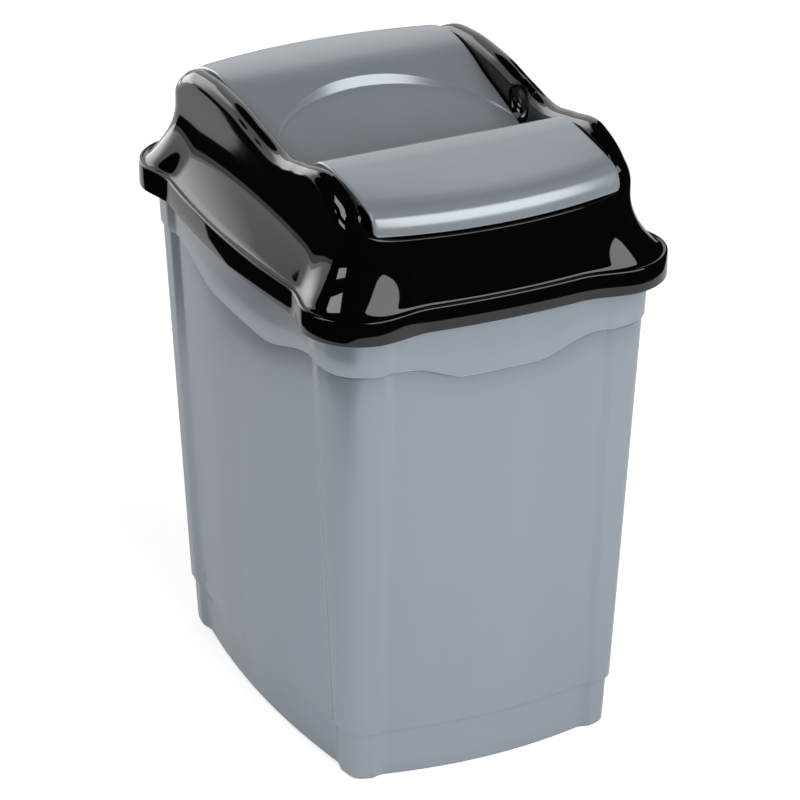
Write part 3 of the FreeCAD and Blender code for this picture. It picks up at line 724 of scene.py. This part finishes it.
def flap_skin_points():
    """The flap as loops across it, row by row from the front lip to the rear end: each point is the top
    surface at its place across, moved down along the surface's normal by its depth in the section. The
    bow is a parabola across, and both ends close in a half-round nose."""
    edge_y = flap_surface(np.array([flap_half_width]))[0][:, 0]
    reach = np.abs(edge_y)
    fade = np.where(edge_y < 0, 1 - smooth(reach, flap_return_front * flap_return_fade, flap_return_front),
                    1 - smooth(reach, flap_rib_rear * flap_return_fade, flap_rib_rear))
    depths = (flap_skin + (flap_return_depth - flap_skin) * fade).reshape(-1, 1)
    across, depth = flap_section(depths)
    y, z, bow = flap_surface(np.abs(across))
    slope_y, slope_z = np.gradient(y, axis=0), np.gradient(z, axis=0)
    size = np.hypot(slope_y, slope_z) + 1e-12
    slope_y, slope_z = slope_y / size, slope_z / size
    half = flap_skin / 2

    def tip(row, outwards):
        """loops of the half-round nose past one end row, from the row outwards"""
        loops = []
        for angle in np.linspace(math.pi / 2, 0, flap_tip_steps)[:-1]:
            squeezed = half + (depth[row] - half) * math.cos(angle)
            loops.append((y[row] + outwards * slope_y[row] * half * math.sin(angle) + slope_z[row] * squeezed,
                          z[row] + outwards * slope_z[row] * half * math.sin(angle) - slope_y[row] * squeezed,
                          bow[row]))
        return loops

    front, rear = tip(0, -1), tip(-1, 1)[::-1]
    body = (y + slope_z * depth, z - slope_y * depth, bow)
    y, z, bow = (np.vstack([[loop[axis] for loop in front], body[axis], [loop[axis] for loop in rear]])
                 for axis in range(3))
    length = np.r_[0.0, np.cumsum(np.hypot(np.diff(y[:, 0]), np.diff(z[:, 0])))].reshape(-1, 1)
    close = np.clip(1 - np.minimum(length, length[-1] - length) / flap_corner, 0.0, 1.0)
    far = np.abs(across)
    narrow = 1 - (flap_corner / flap_half_width * (1 - np.sqrt(1 - close ** 2))
                  * np.clip(far / flap_half_width, 0, 1))
    past = np.maximum(far - flap_half_width + flap_corner, 0)
    corner = flap_corner - np.sqrt(np.maximum(flap_corner ** 2 - past ** 2, 0))
    shift = (bow * (1 - (across / flap_half_width) ** 2)
             - np.sign(bow) * corner * np.where(bow > 0, np.abs(bow) / flap_bow, 0.0))
    return np.stack([across * narrow, y + shift, z], -1)


flap_silver = silver_finish("silver_flap", (0.32, 0.357, 0.39), 0.25, 0.38)
flap = mesh_piece("bin_flap", [(flap_skin_points(), True, False)]
                  + [(flap_rib(place), True, False) for place in flap_rib_places])
flap.data.materials.append(flap_silver)
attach(flap, "flap")
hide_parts("swing_flap")

for side, word in ((-1, "left"), (1, "right")):
    stub = rod("pivot_stub_" + word, pin_radius, side * (flap_half_width - flap_return_thickness / 2),
               side * (flap_half_width + pin_length), pivot_back, pivot_height)
    stub.data.set_sharp_from_angle(angle=crease_angle)
    stub.data.materials.append(flap_silver)
    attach(stub, "flap")

# Studio
# A white floor in a white room, and soft boxes whose images are the bright patches on the hood. A dark
# dome and a dark apron on the floor keep the black gloss black; a window low behind the bin holds a
# graded light card. The dome, apron and card show in reflections alone.

floor_half = 6.0
floor_glow = 0.55
mirrored_glow = 0.2
ambient = 0.3
lamp_aim = Vector((0, 0, 0.25))


def seen_by(tree, kind):
    """1 for the rays of one kind, and 0 for all others"""
    return tree.node("ShaderNodeLightPath", output="Is %s Ray" % kind)


floor_mesh = bpy.data.meshes.new("studio_floor")
floor_corners = [(-floor_half, -floor_half, 0.0), (floor_half, -floor_half, 0.0), (floor_half, floor_half, 0.0),
                 (-floor_half, floor_half, 0.0)]
floor_mesh.from_pydata(floor_corners, [], [(0, 1, 2, 3)])
floor = bpy.data.objects.new("studio_floor", floor_mesh)
bpy.context.scene.collection.objects.link(floor)
paper = Finish("studio_paper", Base_Color=(0.9, 0.9, 0.9, 1.0), Roughness=0.9, Specular_IOR_Level=0.0,
               Emission_Strength=1.0)
shown = seen_by(paper, "Camera") + mirrored_glow * (seen_by(paper, "Glossy") + seen_by(paper, "Transmission"))
paper.feed("Emission Color", paper.node("ShaderNodeMix", {"data_type": "RGBA"},
                                        {0: shown, 6: (0.0, 0.0, 0.0, 1.0), 7: (floor_glow,) * 3 + (1.0,)},
                                        output=2))
floor.data.materials.append(paper.material)

world = bpy.data.worlds.new("studio_world")
bpy.context.scene.world = world
world.use_nodes = True
room = NodeTree(world.node_tree, "Background")
room.main.inputs["Color"].default_value = (1.0, 1.0, 1.0, 1.0)
shown = seen_by(room, "Camera") + seen_by(room, "Glossy") + seen_by(room, "Transmission")
room.feed("Strength", room.node("ShaderNodeMapRange", {}, {"Value": shown, "To Min": ambient, "To Max": 1.0}))

dome_radius = 3.2
dome_columns, dome_rows = 181, 25
window_top = 45.0
window_left, window_right = 137.0, -138.0
window_turn = 2.0
apron_near, apron_corner = 0.85, 0.62
apron_from, apron_to = 20.0, 50.0
apron_right, apron_left = -120.0, 151.0
apron_columns = 61
card_from, card_to = 143.0, 178.0
card_columns = 19
card_distance = 2.4
card_edges = np.array([[0.33], [1.95]])
card_radiance = 3.4
card_dark, card_bright = 145.0, 156.0
card_least = 0.3


def studio_sheet(name, finish, points):
    """A sheet of the studio that only glossy rays see. Its points are given by rows of (x, y, z)."""
    sheet = mesh_piece(name, [(points, False, False)])
    sheet.data.materials.append(finish.material)
    for kind in ("camera", "diffuse", "shadow", "transmission", "volume_scatter"):
        setattr(sheet, "visible_" + kind, False)


def around(degrees, reach, height):
    """points at a bearing, counted from the front towards the left, with their reach and height"""
    bearing = np.radians(degrees)
    x, y, z = np.broadcast_arrays(-reach * np.sin(bearing), -reach * np.cos(bearing), height)
    return np.stack([x, y, z], -1)


felt = Finish("black_felt", Base_Color=(0.01, 0.01, 0.01, 1.0), Roughness=1.0, Specular_IOR_Level=0.0)
degrees = np.linspace(-180, 180, dome_columns).reshape(1, -1)
open_share = (smooth(degrees, window_left, window_left + window_turn)
              + 1 - smooth(degrees, window_right - window_turn, window_right))
foot = window_top * open_share
rise = np.radians(foot + (90.0 - foot) * np.linspace(0, 1, dome_rows).reshape(-1, 1))
studio_sheet("dark_dome", felt, around(degrees, dome_radius * np.cos(rise), dome_radius * np.sin(rise)))

degrees = np.linspace(apron_right, apron_left, apron_columns).reshape(1, -1)
near = mix(apron_near, apron_corner, smooth(degrees, apron_from, apron_to))
studio_sheet("dark_apron", felt, around(degrees, np.vstack([near, 0 * near + dome_radius]), MM))

card_paper = Finish("card_paper", Base_Color=(0.0, 0.0, 0.0, 1.0), Roughness=1.0, Specular_IOR_Level=0.0,
                    Emission_Strength=card_radiance)
turn = card_paper.node("ShaderNodeTexGradient", {"gradient_type": "RADIAL"},
                       {"Vector": card_paper.node("ShaderNodeTexCoord", output="Object")}, output="Fac")
card_paper.feed("Emission Color", card_paper.node("ShaderNodeMapRange", {}, {
    "Value": turn, "From Min": 0.5 + (270.0 - card_dark) / 360, "From Max": 0.5 + (270.0 - card_bright) / 360,
    "To Min": card_least, "To Max": 1.0}))
degrees = np.linspace(card_from, card_to, card_columns).reshape(1, -1)
studio_sheet("light_card", card_paper, around(degrees, card_distance, card_edges))


def soft_box(name, bearing, elevation, distance, width, height, radiance):
    """Area lamp of a soft box at a bearing from the front towards the left, turned towards the bin; its
    power is pi times its area times its radiance."""
    lamp = bpy.data.lights.new(name, "AREA")
    lamp.shape, lamp.size, lamp.size_y = "RECTANGLE", width, height
    lamp.energy = math.pi * width * height * radiance
    holder = bpy.data.objects.new(name, lamp)
    bpy.context.scene.collection.objects.link(holder)
    side, rise = math.radians(bearing), math.radians(elevation)
    away = Vector((-math.sin(side) * math.cos(rise), -math.cos(side) * math.cos(rise), math.sin(rise)))
    facing = away.to_track_quat("Z", "Y").to_matrix().to_4x4()
    holder.matrix_world = Matrix.Translation(lamp_aim + away * distance) @ facing


soft_box("front_box", -20.0, 32.0, 2.4, 2.3, 1.9, 3.4)
soft_box("left_high_box", 95.0, 45.0, 2.4, 0.9, 0.7, 4.6)
soft_box("left_low_box", 95.0, 15.0, 2.4, 0.9, 0.5, 4.2)
soft_box("rear_left_box", 166.0, 5.0, 2.6, 1.3, 1.1, 2.9)

# Camera
# It stands at the photograph's viewing angle, front left and above, with a long lens. The pitch, yaw and
# roll are the small turns by which the photograph's frame differs from one aimed at the target.

focal_length = 230.05
sensor_width = 36.0
far_clip = 50.0
camera_distance = 3531.87 * MM
camera_azimuth, camera_elevation = math.radians(26.13), math.radians(25.73)
camera_pitch, camera_yaw, camera_roll = -0.0036, -0.0005, 0.0042
camera_target = Vector((0.0, 0.0, 225.0 * MM))

lens = bpy.data.cameras.new("photo_camera")
lens.lens, lens.sensor_width, lens.clip_end = focal_length, sensor_width, far_clip
camera = bpy.data.objects.new("photo_camera", lens)
bpy.context.scene.collection.objects.link(camera)
back = Vector((-math.sin(camera_azimuth) * math.cos(camera_elevation),
               -math.cos(camera_azimuth) * math.cos(camera_elevation), math.sin(camera_elevation)))
looking = (-back).to_track_quat("-Z", "Y").to_matrix().to_4x4()
turns = (Matrix.Rotation(camera_pitch, 4, "X") @ Matrix.Rotation(camera_yaw, 4, "Y")
         @ Matrix.Rotation(camera_roll, 4, "Z"))
camera.matrix_world = Matrix.Translation(camera_target + back * camera_distance) @ looking @ turns
bpy.context.scene.camera = camera
bpy.context.scene.view_settings.view_transform = "Standard"
